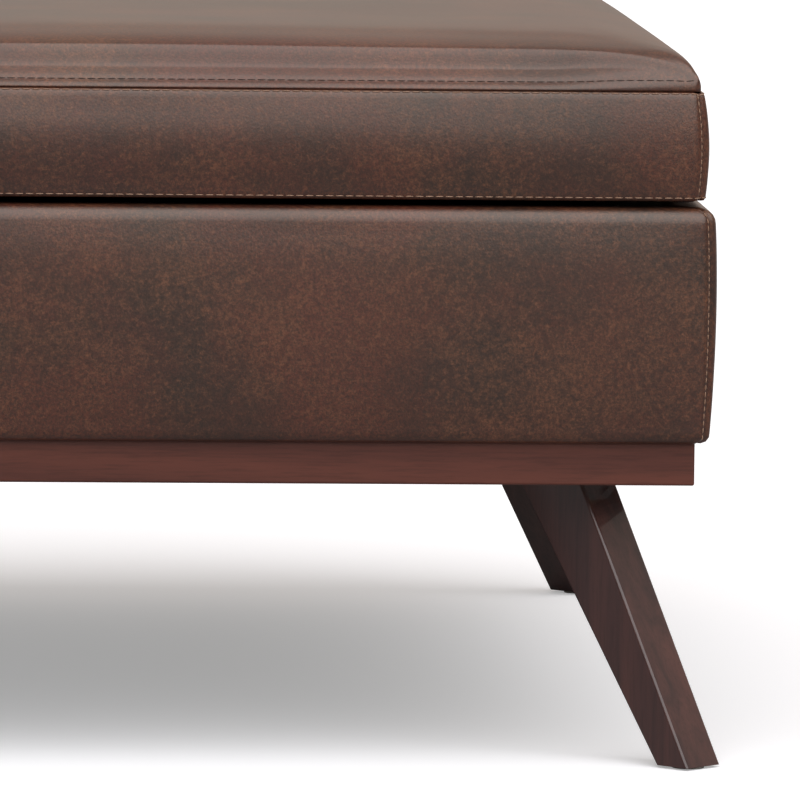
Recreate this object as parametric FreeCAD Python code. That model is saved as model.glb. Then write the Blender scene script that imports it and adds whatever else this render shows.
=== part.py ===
"""Square coffee-table ottoman: a padded lid over a storage box, on a wooden plinth with four splayed legs.

Millimetres. +Z is up, the front faces -Y, and the origin is on the floor under the middle of the ottoman.
The box and the lid are the same on all four sides, so most sides are made once, for the front, and turned.
Each piece is written to parts/NAME.step.
"""

import FreeCAD
import Part
import math
import os

Vec = FreeCAD.Vector
SIDES = ["front", "right", "rear", "left"]
CORNERS = ["front_right", "rear_right", "rear_left", "front_left"]
UP = Vec(0, 0, 1)

# Whole ottoman
HALF = 457.0  # half the width and depth, at the fullest part of the padding
SKIN = 1.2  # leatherette thickness
RUN_GAP = 0.3  # air between pieces that move past each other

# Plinth
RAIL_FACE = 446.0  # centre to the outer face of a rail
RAIL_THICK = 22.0
RAIL_LOW = 160.0
RAIL_HIGH = 184.0
RAIL_EDGE = 1.5
BLOCK_DIAGONAL = 690.0  # x + y along the corner block's long side
BEARER_X = 150.0
BEARER_WIDE = 40.0
DUST_HALF = 436.0
DUST_THICK = 0.8
DUST_CORNER = 676.0  # x + y along the dust cover's cut corner

# Legs, measured along the diagonal from the middle of the ottoman
LEG_FOOT_OUT = 640.6
LEG_FOOT_IN = 617.2
LEG_TOP_OUT = 557.6
LEG_TOP_IN = 508.1
LEG_THICK = 29.3
LEG_EDGE = 2.0
GLIDE_RADIUS = 9.0
GLIDE_THICK = 1.5
PLATE_LONG = 86.0
PLATE_WIDE = 46.0
PLATE_THICK = 2.5
PLATE_SCREW_LONG = 37.0
PLATE_SCREW_WIDE = 16.0
PLATE_SCREW_DEEP = 17.0
HANGER_RADIUS = 4.0
HANGER_DEPTH = 36.0
HANGER_RISE = 20.0
HANGER_PLAY = 0.3

# Storage box
BOARD_HALF = 445.0
BOARD_THICK = 12.0
PANEL_THICK = 15.0
PANEL_HIGH = 312.0
RIM_HIGH = 320.0
FLAP_LOW = 292.0
LINING = 1.0
CORNER_RADIUS = 10.0

# Lid
LID_LOW = 323.4
LID_SEAM = 383.4
LID_TOP = 411.5
LID_HALF = 452.3
LID_BOARD_HALF = 446.0
LID_BOARD_THICK = 12.0
LID_LINING_HALF = 420.0
BUMPER_RADIUS = 6.0
BUMPER_AT = 438.0

# Butt hinges
HINGE_Y = 454.0
HINGE_Z = 321.7
HINGE_X = 270.0
HINGE_LONG = 90.0
KNUCKLE_RADIUS = 2.8
KNUCKLE_PART = 28.0
PIN_RADIUS = 1.2
LEAF_THICK = 1.2
LEAF_FRONT = 431.0
HINGE_SCREW_Y = 437.5
BOX_SCREW_STEP = 22.0
BOX_SCREW_LONG = 24.0
LID_SCREW_STEP = 34.0
LID_SCREW_LONG = 11.0

# Lid stays: the hinge line, both brackets and the elbow are the corners of a parallelogram
BOX_PIVOT = (HINGE_Y - 40.0, HINGE_Z - 75.0)
LID_PIVOT = (HINGE_Y - 190.0, HINGE_Z - 12.0)
ELBOW = (LID_PIVOT[0] + BOX_PIVOT[0] - HINGE_Y, LID_PIVOT[1] + BOX_PIVOT[1] - HINGE_Z)
ARM_HALF = 8.0
ARM_THICK = 2.0
RIVET_RADIUS = 2.5
RIVET_HEAD = 4.8
BRACKET_OUT = 428.7  # outer face of the box bracket, against the lining
BRACKET_THICK = 1.5
LOWER_ARM_OUT = BRACKET_OUT - BRACKET_THICK - RUN_GAP
UPPER_ARM_OUT = LOWER_ARM_OUT - ARM_THICK - RUN_GAP
LID_TAB_OUT = UPPER_ARM_OUT - ARM_THICK - RUN_GAP
LID_TAB_HALF = 10.0
LID_FLANGE_WIDE = 24.0
LID_FLANGE_HIGH = LID_LOW - 0.1

# Wood screws
SCREW_RADIUS = 1.7
SCREW_HEAD = 3.2
PAN_HEAD = 1.4
FLAT_HEAD = 0.8
HOLE_PLAY = 0.05
PIVOT_PLAY = 0.06
BRACKET_SCREW_LONG = 14.0
ELBOW_PLAY = 0.4  # the stay's loop is left open at the elbow, so this hole is loose


def save(name, *solids):
    shape = solids[0] if len(solids) == 1 else Part.makeCompound(list(solids))
    shape.exportStep(os.path.join("parts", name + ".step"))


def block(low, high):
    size = [b - a for a, b in zip(low, high)]
    return Part.makeBox(*size, Vec(*low))


def rod(radius, start, end):
    along = Vec(*end) - Vec(*start)
    return Part.makeCylinder(radius, along.Length, Vec(*start), along)


def quarter(shape, turns):
    """The shape turned about the middle of the ottoman by quarter turns, front to right to rear to left."""
    turned = shape.copy()
    turned.rotate(Vec(0, 0, 0), UP, 90.0 * turns)
    return turned


def mirrored(shape):
    return shape.mirror(Vec(0, 0, 0), Vec(1, 0, 0))


def screw(start, end, head_thick):
    """A screw from the underside of its head to its tip, and the hole that it needs."""
    way = (Vec(*end) - Vec(*start)).normalize()
    head = Part.makeCylinder(SCREW_HEAD, head_thick, Vec(*start) - way * head_thick, way)
    solid = joined([head, rod(SCREW_RADIUS, start, end)])
    return solid, rod(SCREW_RADIUS + HOLE_PLAY, start, end)


def with_holes(solid, screws):
    """The solid with a hole for each screw that reaches it."""
    for _, hole in screws:
        if hole.BoundBox.intersect(solid.BoundBox):
            solid = solid.cut(hole)
    return solid


def both_sides(screws):
    return screws + [(mirrored(solid), mirrored(hole)) for solid, hole in screws]


def joined(solids):
    whole = solids[0]
    for solid in solids[1:]:
        whole = whole.fuse(solid)
    return whole.removeSplitter()


def section(place, steps):
    """A flat face. Each step is a corner, or a (through, end) pair for an arc. place makes the Vectors."""
    edges = []
    here = place(*steps[0])
    for step in steps[1:] + [steps[0]]:
        if isinstance(step[0], tuple):
            through, end = place(*step[0]), place(*step[1])
            edges.append(Part.Arc(here, through, end).toShape())
        else:
            end = place(*step)
            if end.distanceToPoint(here) < 1e-6:
                continue
            edges.append(Part.LineSegment(here, end).toShape())
        here = end
    return Part.Face(Part.Wire(edges))


def plan_prism(points, low, high):
    face = section(lambda x, y: Vec(x, y, low), points)
    return face.extrude(Vec(0, 0, high - low))


def front_bar(steps):
    """A bar along the front side, from (outward distance, height) steps, before its ends are mitred."""
    face = section(lambda out, high: Vec(-HALF, -out, high), steps)
    return face.extrude(Vec(2 * HALF, 0, 0))


def mitre(shape):
    """The part of a front bar between the two diagonals."""
    wedge = plan_prism([(0, 0), (-2 * HALF, -2 * HALF), (2 * HALF, -2 * HALF)], 0, 2 * HALF)
    return shape.common(wedge)


def column(half, radius):
    """A tall square column with rounded corners, which rounds whatever it is intersected with."""
    post = block((-half, -half, 0), (half, half, 2 * HALF))
    upright = [e for e in post.Edges if abs(e.tangentAt(e.FirstParameter).z) > 0.99]
    return post.makeFillet(radius, upright)


def diagonal(distance, across, high):
    """The point that far out along the front right diagonal, and that far across it towards the rear."""
    root = math.sqrt(2)
    return Vec((distance + across) / root, (across - distance) / root, high)


# ---------------------------------------------------------------- plinth


def rail():
    inner, edge = RAIL_FACE - RAIL_THICK, RAIL_EDGE
    soft = edge * (1 - math.sqrt(0.5))
    steps = [
        (inner, RAIL_LOW),
        (RAIL_FACE - edge, RAIL_LOW),
        ((RAIL_FACE - soft, RAIL_LOW + soft), (RAIL_FACE, RAIL_LOW + edge)),
        (RAIL_FACE, RAIL_HIGH),
        (inner, RAIL_HIGH),
    ]
    return mitre(front_bar(steps)).common(column(RAIL_FACE, edge))


def plate_screw_places():
    return [
        diagonal(plate_centre() + a * PLATE_SCREW_LONG, b * PLATE_SCREW_WIDE, RAIL_LOW)
        for a in (-1, 1)
        for b in (-1, 1)
    ]


def plate_centre():
    return (LEG_TOP_OUT + LEG_TOP_IN) / 2


def corner_block():
    inner = RAIL_FACE - RAIL_THICK
    far = BLOCK_DIAGONAL - inner
    low = RAIL_LOW + PLATE_THICK
    body = plan_prism([(inner, -inner), (inner, -far), (far, -inner)], low, RAIL_HIGH)
    body = with_holes(body, plate_screws())
    return body.cut(Part.makeCylinder(HANGER_RADIUS, HANGER_RISE, diagonal(plate_centre(), 0, RAIL_LOW)))


def leg_plate():
    long, wide, middle = PLATE_LONG / 2, PLATE_WIDE / 2, plate_centre()
    outline = [(middle - long, -wide), (middle + long, -wide), (middle + long, wide), (middle - long, wide)]
    face = section(lambda out, across: diagonal(out, across, RAIL_LOW), outline)
    plate = face.extrude(Vec(0, 0, PLATE_THICK))
    bore = Part.makeCylinder(HANGER_RADIUS + HANGER_PLAY, PLATE_THICK, diagonal(middle, 0, RAIL_LOW))
    plate = plate.cut(bore)
    return with_holes(plate, plate_screws())


def plate_screws():
    """Four pan-headed screws, up through the plate into the corner block."""
    tip = Vec(0, 0, PLATE_SCREW_DEEP)
    return [screw(tuple(place), tuple(place + tip), PAN_HEAD) for place in plate_screw_places()]


def hanger_bolt():
    low = RAIL_LOW - HANGER_DEPTH
    return Part.makeCylinder(HANGER_RADIUS, HANGER_DEPTH + HANGER_RISE, diagonal(plate_centre(), 0, low))


def leg():
    half = LEG_THICK / 2
    outline = [
        (LEG_FOOT_OUT, GLIDE_THICK),
        (LEG_FOOT_IN, GLIDE_THICK),
        (LEG_TOP_IN, RAIL_LOW),
        (LEG_TOP_OUT, RAIL_LOW),
    ]
    face = section(lambda out, high: diagonal(out, -half, high), outline)
    body = face.extrude(diagonal(0, LEG_THICK, 0))
    long_edges = [e for e in body.Edges if abs(e.tangentAt(e.FirstParameter).z) > 0.5]
    body = body.makeFillet(LEG_EDGE, long_edges)
    depth = HANGER_DEPTH
    return body.cut(Part.makeCylinder(HANGER_RADIUS, depth, diagonal(plate_centre(), 0, RAIL_LOW - depth)))


def glide():
    foot = (LEG_FOOT_OUT + LEG_FOOT_IN) / 2
    return Part.makeCylinder(GLIDE_RADIUS, GLIDE_THICK, diagonal(foot, 0, 0))


def bearer(x):
    half, inner = BEARER_WIDE / 2, RAIL_FACE - RAIL_THICK
    return block((x - half, -inner, RAIL_LOW + 2), (x + half, inner, RAIL_HIGH))


def dust_cover():
    cut, half = DUST_CORNER - DUST_HALF, DUST_HALF
    corners = [(half, -cut), (half, cut), (cut, half), (-cut, half)]
    corners += [(-x, -y) for x, y in corners]
    return plan_prism(corners, RAIL_LOW - DUST_THICK, RAIL_LOW)


# ---------------------------------------------------------------- storage box


def bottom_board():
    half = BOARD_HALF
    return block((-half, -half, RAIL_HIGH), (half, half, RAIL_HIGH + BOARD_THICK))


def panel(side):
    """Front and rear panels run the full width. The side panels fit between them."""
    outer, inner, low = BOARD_HALF, BOARD_HALF - PANEL_THICK, RAIL_HIGH + BOARD_THICK
    reach = outer if side in ("front", "rear") else inner
    return quarter(block((-reach, -outer, low), (reach, -inner, PANEL_HIGH)), SIDES.index(side))


def pad_bar():
    """Foam over the outside and the top edge of a panel."""
    face, inner = BOARD_HALF, BOARD_HALF - PANEL_THICK
    return front_bar([
        (face, RAIL_HIGH + SKIN),
        (450.5, RAIL_HIGH + SKIN),
        ((453.4, 186.6), (454.6, 190.5)),
        ((HALF - SKIN, 250.0), (453.4, 306.0)),
        ((450.0, 315.3), (442.0, RIM_HIGH - SKIN)),
        (434.0, RIM_HIGH - SKIN),
        ((431.2, 317.6), (inner, 314.8)),
        (inner, PANEL_HIGH),
        (face, PANEL_HIGH),
    ])


def cover_bar():
    """The leatherette's outer surface, filled in as far as the back of the flap that turns into the box."""
    face, flap = BOARD_HALF, BOARD_HALF - PANEL_THICK - SKIN
    return front_bar([
        (face, RAIL_HIGH),
        (451.0, RAIL_HIGH),
        ((454.4, 185.6), (455.8, 190.3)),
        ((HALF, 250.0), (454.6, 306.3)),
        ((450.9, 316.25), (442.0, RIM_HIGH)),
        (434.0, RIM_HIGH),
        ((430.35, 318.45), (flap, 314.8)),
        (flap, FLAP_LOW),
        (face, FLAP_LOW),
    ])


def body_pad():
    return mitre(pad_bar()).common(column(HALF - SKIN, CORNER_RADIUS - SKIN))


def body_cover(pad):
    """The skin over one side: outside, bottom edge, rim and the flap inside the box."""
    inner = BOARD_HALF - PANEL_THICK
    wood = block((-BOARD_HALF, -BOARD_HALF, RAIL_HIGH), (BOARD_HALF, -inner, PANEL_HIGH))
    whole = mitre(cover_bar()).common(column(HALF, CORNER_RADIUS))
    return whole.cut(pad).cut(wood)


def lining_floor():
    half, low = BOARD_HALF - PANEL_THICK, RAIL_HIGH + BOARD_THICK
    return block((-half, -half, low), (half, half, low + LINING))


def lining_walls():
    outer, low = BOARD_HALF - PANEL_THICK, RAIL_HIGH + BOARD_THICK + LINING
    inner = outer - LINING
    return block((-outer, -outer, low), (outer, outer, FLAP_LOW)).cut(
        block((-inner, -inner, low), (inner, inner, FLAP_LOW))
    )


# ---------------------------------------------------------------- lid


def vault(steps):
    """A pillow shape: half of a cross-section, mirrored, run across and along, keeping what both share."""
    face = section(lambda out, high: Vec(-HALF, out, high), steps)
    half_bar = face.extrude(Vec(2 * HALF, 0, 0))
    bar = joined([half_bar, half_bar.mirror(Vec(0, 0, 0), Vec(0, 1, 0))])
    return bar.common(quarter(bar, 1))


def lid_outside():
    shape = vault([
        (0, LID_LOW),
        (449.6, LID_LOW),
        ((LID_HALF, 352.0), (448.5, LID_SEAM)),
        ((440.2, 397.6), (426.0, 406.6)),
        ((230.0, 410.3), (0, LID_TOP)),
    ])
    return shape.common(column(LID_HALF, CORNER_RADIUS))


def lid_inside():
    shape = vault([
        (0, LID_LOW + SKIN),
        (448.4, LID_LOW + SKIN),
        ((LID_HALF - SKIN, 352.0), (447.3, LID_SEAM - 0.2)),
        ((439.3, 396.6), (425.5, 405.4)),
        ((230.0, 409.1), (0, LID_TOP - SKIN)),
    ])
    return shape.common(column(LID_HALF - SKIN, CORNER_RADIUS - SKIN))


def lid_board():
    half, low = LID_BOARD_HALF, LID_LOW + SKIN
    return block((-half, -half, low), (half, half, low + LID_BOARD_THICK))


def lid_lining():
    half, high = LID_LINING_HALF, LID_LOW + SKIN
    return block((-half, -half, high - LINING), (half, half, high))


def lid_skins():
    """The top panel, and the four bands with their stapled returns under the lid."""
    under = block((-LID_LINING_HALF, -LID_LINING_HALF, 0), (LID_LINING_HALF, LID_LINING_HALF, LID_LOW + SKIN))
    shell = lid_outside().cut(lid_inside()).cut(under)
    above = block((-HALF, -HALF, LID_SEAM), (HALF, HALF, 2 * LID_TOP))
    top = shell.common(above)
    band = mitre(shell.cut(above))
    return top, [quarter(band, i) for i in range(4)]


def bumper():
    return Part.makeCylinder(
        BUMPER_RADIUS, LID_LOW - RIM_HIGH - RUN_GAP, Vec(BUMPER_AT, -BUMPER_AT, RIM_HIGH + RUN_GAP)
    )


# ---------------------------------------------------------------- hinges


def knuckle(x_low, x_high):
    return rod(KNUCKLE_RADIUS, (x_low, HINGE_Y, HINGE_Z), (x_high, HINGE_Y, HINGE_Z))


def hinge_bore(radius):
    half = HINGE_LONG / 2
    return rod(radius, (HINGE_X - half, HINGE_Y, HINGE_Z), (HINGE_X + half, HINGE_Y, HINGE_Z))


def box_leaf():
    """The leaf on the rim, with the two outer knuckles."""
    left, right = HINGE_X - HINGE_LONG / 2, HINGE_X + HINGE_LONG / 2
    short = HINGE_Y - KNUCKLE_RADIUS - RUN_GAP
    leaf = [block((left, LEAF_FRONT, RIM_HIGH), (right, short, RIM_HIGH + LEAF_THICK))]
    for start, end in ((left, left + KNUCKLE_PART), (right - KNUCKLE_PART, right)):
        leaf.append(block((start, short - 1, RIM_HIGH), (end, HINGE_Y, RIM_HIGH + LEAF_THICK)))
        leaf.append(knuckle(start, end))
    leaf = joined(leaf).cut(hinge_bore(PIN_RADIUS + HOLE_PLAY))
    return with_holes(leaf, box_hinge_screws())


def lid_leaf():
    """The leaf under the lid, with the middle knuckle."""
    left, right = HINGE_X - HINGE_LONG / 2, HINGE_X + HINGE_LONG / 2
    short = HINGE_Y - KNUCKLE_RADIUS - RUN_GAP
    start, end = left + KNUCKLE_PART + RUN_GAP, right - KNUCKLE_PART - RUN_GAP
    low = LID_LOW - LEAF_THICK
    leaf = joined([
        block((left, LEAF_FRONT, low), (right, short, LID_LOW)),
        block((start, short - 1, low), (end, HINGE_Y, LID_LOW)),
        knuckle(start, end),
    ])
    leaf = leaf.cut(hinge_bore(PIN_RADIUS + PIVOT_PLAY))
    return with_holes(leaf, lid_hinge_screws())


def box_hinge_screws():
    """Flat-headed screws, down through the rim into the rear panel."""
    high, y = RIM_HIGH + LEAF_THICK, HINGE_SCREW_Y
    xs = (HINGE_X - BOX_SCREW_STEP, HINGE_X + BOX_SCREW_STEP)
    return [screw((x, y, high), (x, y, high - BOX_SCREW_LONG), FLAT_HEAD) for x in xs]


def lid_hinge_screws():
    """Flat-headed screws, up into the lid board. Their heads miss those of the box leaf."""
    low, y = LID_LOW - LEAF_THICK, HINGE_SCREW_Y
    xs = (HINGE_X - LID_SCREW_STEP, HINGE_X, HINGE_X + LID_SCREW_STEP)
    return [screw((x, y, low), (x, y, low + LID_SCREW_LONG), FLAT_HEAD) for x in xs]


# ---------------------------------------------------------------- lid stays, made for the right side


def strip(start, end, x_out, start_hole, end_hole):
    """A flat bar with round ends between two (y, z) points, with a hole at each."""
    along = Vec(0, end[0] - start[0], end[1] - start[1])
    side = Vec(0, -along.z, along.y).normalize() * ARM_HALF
    ahead = Vec(along).normalize() * ARM_HALF
    a, b = Vec(x_out, *start), Vec(x_out, *end)
    wire = Part.Wire([
        Part.LineSegment(a + side, b + side).toShape(),
        Part.Arc(b + side, b + ahead, b - side).toShape(),
        Part.LineSegment(b - side, a - side).toShape(),
        Part.Arc(a - side, a - ahead, a + side).toShape(),
    ])
    bar = Part.Face(wire).extrude(Vec(-ARM_THICK, 0, 0))
    for centre, radius in ((a, start_hole), (b, end_hole)):
        bar = bar.cut(Part.makeCylinder(radius, ARM_THICK, centre, Vec(-1, 0, 0)))
    return bar


def lower_arm():
    hole = RIVET_RADIUS + PIVOT_PLAY
    return strip(BOX_PIVOT, ELBOW, LOWER_ARM_OUT, hole, RIVET_RADIUS + HOLE_PLAY)


def upper_arm():
    hole = RIVET_RADIUS + PIVOT_PLAY
    return strip(LID_PIVOT, ELBOW, UPPER_ARM_OUT, hole, RIVET_RADIUS + ELBOW_PLAY)


def rivet(place, x_out, x_in, head_out, head_in):
    """A pin along X at a (y, z) place, with a head of the given thickness at either end."""
    y, z = place
    pieces = [rod(RIVET_RADIUS, (x_out, y, z), (x_in, y, z))]
    if head_out:
        pieces.append(rod(RIVET_HEAD, (x_out, y, z), (x_out + head_out, y, z)))
    if head_in:
        pieces.append(rod(RIVET_HEAD, (x_in, y, z), (x_in - head_in, y, z)))
    return joined(pieces)


def box_rivet():
    return rivet(BOX_PIVOT, BRACKET_OUT, LOWER_ARM_OUT - ARM_THICK - 0.15, 0, 1.5)


def elbow_rivet():
    return rivet(ELBOW, LOWER_ARM_OUT, UPPER_ARM_OUT - ARM_THICK - 0.15, 1.0, 1.2)


def lid_rivet():
    return rivet(LID_PIVOT, UPPER_ARM_OUT + 0.15, LID_TAB_OUT - ARM_THICK, 1.2, 1.5)


def box_bracket_screws():
    inside, z = BRACKET_OUT - BRACKET_THICK, BOX_PIVOT[1] - 18.0
    ys = (BOX_PIVOT[0] - 15.0, BOX_PIVOT[0] + 7.0)
    return [screw((inside, y, z), (inside + BRACKET_SCREW_LONG, y, z), PAN_HEAD) for y in ys]


def box_bracket():
    y, z = BOX_PIVOT
    inside = BRACKET_OUT - BRACKET_THICK
    plate = block((inside, y - 24, z - 27), (BRACKET_OUT, y + 13.5, z + 12))
    flat = [e for e in plate.Edges if abs(e.tangentAt(e.FirstParameter).x) > 0.99]
    plate = plate.makeFillet(5.0, flat)
    plate = plate.cut(rod(RIVET_RADIUS + HOLE_PLAY, (inside, y, z), (BRACKET_OUT, y, z)))
    return with_holes(plate, box_bracket_screws())


def lid_bracket_screws():
    x, low = LID_TAB_OUT - 14.0, LID_FLANGE_HIGH - BRACKET_THICK
    ys = (LID_PIVOT[0] - 12.0, LID_PIVOT[0] + 12.0)
    return [screw((x, y, low), (x, y, low + LID_SCREW_LONG), PAN_HEAD) for y in ys]


def lid_bracket():
    """An angle under the lid: a flange screwed to the board, and a round-ended tab that hangs into the box."""
    y, z = LID_PIVOT
    outer, inner = LID_TAB_OUT, LID_TAB_OUT - ARM_THICK
    low = LID_FLANGE_HIGH - BRACKET_THICK
    bracket = joined([
        block((outer - LID_FLANGE_WIDE, y - 20, low), (outer, y + 20, LID_FLANGE_HIGH)),
        block((inner, y - LID_TAB_HALF, z), (outer, y + LID_TAB_HALF, low)),
        rod(LID_TAB_HALF, (inner, y, z), (outer, y, z)),
    ])
    bracket = bracket.cut(rod(RIVET_RADIUS + HOLE_PLAY, (inner, y, z), (outer, y, z)))
    return with_holes(bracket, lid_bracket_screws())


# ---------------------------------------------------------------- everything together


def save_plinth():
    for i, side in enumerate(SIDES):
        save("rail_" + side, quarter(rail(), i))
    for i, corner in enumerate(CORNERS):
        save("corner_block_" + corner, quarter(corner_block(), i))
        save("leg_" + corner, quarter(leg(), i))
    screws = [solid for solid, _ in plate_screws()]
    save("leg_plates", *[quarter(leg_plate(), i) for i in range(4)])
    save("leg_plate_screws", *[quarter(s, i) for i in range(4) for s in screws])
    save("leg_hanger_bolts", *[quarter(hanger_bolt(), i) for i in range(4)])
    save("foot_glides", *[quarter(glide(), i) for i in range(4)])
    save("cross_bearers", bearer(-BEARER_X), bearer(BEARER_X))
    save("dust_cover", dust_cover())


def save_box(box_screws):
    save("bottom_board", bottom_board())
    pad = body_pad()
    cover = body_cover(pad)
    for i, side in enumerate(SIDES):
        save("panel_" + side, with_holes(panel(side), box_screws))
        save("body_pad_" + side, with_holes(quarter(pad, i), box_screws))
        save("body_cover_" + side, with_holes(quarter(cover, i), box_screws))
    save("box_lining", lining_floor(), with_holes(lining_walls(), box_screws))
    save("screws_box", *[solid for solid, _ in box_screws])


def save_lid(lid_screws):
    top, bands = lid_skins()
    save("lid_cover_top", top)
    for side, band in zip(SIDES, bands):
        save("lid_band_" + side, with_holes(band, lid_screws))
    save("lid_board", with_holes(lid_board(), lid_screws))
    save("lid_foam", lid_inside().cut(lid_board()))
    save("lid_lining", with_holes(lid_lining(), lid_screws))
    save("lid_bumpers", *[quarter(bumper(), i) for i in range(4)])
    save("screws_lid", *[solid for solid, _ in lid_screws])


def save_hinges_and_stays():
    for side, place in (("right", lambda s: s), ("left", mirrored)):
        save("hinge_box_leaf_" + side, place(box_leaf()))
        save("hinge_lid_leaf_" + side, place(lid_leaf()))
        save("stay_box_bracket_" + side, place(box_bracket()))
        save("stay_lower_arm_" + side, place(lower_arm()))
        save("stay_elbow_rivet_" + side, place(elbow_rivet()))
        save("stay_upper_arm_" + side, place(upper_arm()))
        save("stay_lid_bracket_" + side, place(lid_bracket()))
    save("stay_rivets_box", box_rivet(), mirrored(box_rivet()))
    save("stay_rivets_lid", lid_rivet(), mirrored(lid_rivet()))
    save("hinge_pins", hinge_bore(PIN_RADIUS), mirrored(hinge_bore(PIN_RADIUS)))


def main():
    os.makedirs("parts", exist_ok=True)
    save_plinth()
    save_box(both_sides(box_hinge_screws() + box_bracket_screws()))
    save_lid(both_sides(lid_hinge_screws() + lid_bracket_screws()))
    save_hinges_and_stays()


main()
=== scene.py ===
"""The looks of a square storage ottoman: a padded leatherette lid and box on a plinth with splayed legs.

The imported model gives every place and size. This file makes the upholstery over it, the seams, stitches
and linings, the finishes of the wood, metal and screws, and the studio. Metres, +Z up, the front faces -Y.
"""

import math

import bmesh
import bpy
import numpy as np
from mathutils import Matrix, Vector
from mathutils.bvhtree import BVHTree


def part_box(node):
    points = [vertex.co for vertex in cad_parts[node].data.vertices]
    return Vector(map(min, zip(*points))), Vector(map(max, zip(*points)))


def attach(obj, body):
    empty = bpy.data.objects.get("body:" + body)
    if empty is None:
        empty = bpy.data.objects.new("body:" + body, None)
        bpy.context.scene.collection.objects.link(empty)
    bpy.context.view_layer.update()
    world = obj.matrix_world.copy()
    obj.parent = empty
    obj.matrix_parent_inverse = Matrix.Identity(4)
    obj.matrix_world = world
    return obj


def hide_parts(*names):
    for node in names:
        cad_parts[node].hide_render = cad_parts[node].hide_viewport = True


bl_info = {
    "name": "Storage ottoman",
    "version": (1, 0, 0),
    "blender": (4, 5, 0),
    "location": "View3D > Sidebar > Ottoman",
    "description": "Upholstery, stitching, finishes and studio for a square storage ottoman",
    "category": "Object",
}

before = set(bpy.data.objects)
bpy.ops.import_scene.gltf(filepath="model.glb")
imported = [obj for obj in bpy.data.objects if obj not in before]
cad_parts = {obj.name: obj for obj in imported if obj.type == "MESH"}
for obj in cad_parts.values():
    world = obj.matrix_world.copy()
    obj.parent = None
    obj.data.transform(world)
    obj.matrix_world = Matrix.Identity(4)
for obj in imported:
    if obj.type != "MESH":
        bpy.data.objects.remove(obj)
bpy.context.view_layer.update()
MM = 0.001
SIDES = ("front", "right", "rear", "left")
CORNERS = ("front_right", "rear_right", "rear_left", "front_left")

# ---------------------------------------------------------------- sizes, from the frame

BOX_HALF = -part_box("body_cover_front")[0].y
BOX_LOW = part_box("body_cover_front")[0].z
BOX_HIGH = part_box("body_cover_front")[1].z
FLAP_FACE = -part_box("body_cover_front")[1].y
PANEL_OUT = -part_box("panel_front")[0].y
PANEL_IN = -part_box("panel_front")[1].y
PANEL_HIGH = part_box("panel_front")[1].z
FLAP_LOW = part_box("box_lining")[1].z
LID_HALF = -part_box("lid_band_front")[0].y
LID_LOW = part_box("lid_band_front")[0].z
LID_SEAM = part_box("lid_cover_top")[0].z - 0.8 * MM
LID_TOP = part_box("lid_cover_top")[1].z
SEAM_HALF = -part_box("lid_cover_top")[0].y
RETURN_HALF = -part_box("lid_band_front")[1].y
BOARD_HALF = -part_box("lid_board")[0].y
BOARD_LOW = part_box("lid_board")[0].z
CORNER_RADIUS = 10 * MM
# how tall a strip gives along the lid's lower edge and along the box's rim
HEM_STRIP = 20 * MM
RIM_STRIP = 35 * MM
# how far the dust cover reaches, along X plus along Y, where the legs stand
DUST_CUT = 676 * MM


# ---------------------------------------------------------------- small tools


def hex_colour(code):
    """An sRGB hex value as the linear colour that shaders take."""
    parts = [int(code[i : i + 2], 16) / 255 for i in (1, 3, 5)]
    linear = [c / 12.92 if c <= 0.04045 else ((c + 0.055) / 1.055) ** 2.4 for c in parts]
    return (*linear, 1.0)


def set_sockets(node, sockets):
    """Gives each socket, by name or number, a plain value or another node's output."""
    for name, value in sockets.items():
        if isinstance(value, bpy.types.NodeSocket):
            node.id_data.links.new(value, node.inputs[name])
        else:
            node.inputs[name].default_value = value


def add_node(tree, kind, sockets=None, **settings):
    """A node with its settings and sockets."""
    node = tree.nodes.new(kind)
    for name, value in settings.items():
        setattr(node, name, value)
    set_sockets(node, sockets or {})
    return node


def scaled(colour, share):
    """The colour, made that much brighter or darker."""
    return [part * share for part in colour[:3]] + [1.0]


def set_stops(ramp, stops):
    """Gives a colour ramp its stops: (place, colour or grey level)."""
    elements = ramp.color_ramp.elements
    while len(elements) < len(stops):
        elements.new(0.5)
    for element, (place, colour) in zip(elements, stops):
        element.position = place
        element.color = colour if hasattr(colour, "__len__") else (colour, colour, colour, 1.0)
    return ramp.outputs["Color"]


def new_material(name):
    material = bpy.data.materials.new(name)
    material.use_nodes = True
    tree = material.node_tree
    return material, tree, tree.nodes["Principled BSDF"]


def own_material(name, make, settings):
    """The material of that name, made the first time that a piece asks for it."""
    return bpy.data.materials.get(name) or make(name, settings)


def grid_faces(count):
    """Faces of a square grid of count by count points."""
    starts = [i * count + j for i in range(count - 1) for j in range(count - 1)]
    return [(a, a + count, a + count + 1, a + 1) for a in starts]


def new_object(name, vertices, faces):
    mesh = bpy.data.meshes.new(name)
    mesh.from_pydata([tuple(v) for v in vertices], [], [tuple(f) for f in faces])
    mesh.update()
    mesh.shade_smooth()
    piece = bpy.data.objects.new(name, mesh)
    bpy.context.scene.collection.objects.link(piece)
    return piece


def outward_faces(piece, close=False):
    """Makes a mesh's faces point outwards, and first fills each open edge loop if it is to be closed."""
    mesh = bmesh.new()
    mesh.from_mesh(piece.data)
    if close:
        bmesh.ops.edgeloop_fill(mesh, edges=[edge for edge in mesh.edges if edge.is_boundary])
    bmesh.ops.recalc_face_normals(mesh, faces=mesh.faces)
    mesh.to_mesh(piece.data)
    mesh.free()


def positions(piece):
    flat = np.empty(len(piece.data.vertices) * 3)
    piece.data.vertices.foreach_get("co", flat)
    return flat.reshape(-1, 3)


def set_positions(piece, points):
    piece.data.vertices.foreach_set("co", np.asarray(points, float).ravel())
    piece.data.update()


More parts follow.
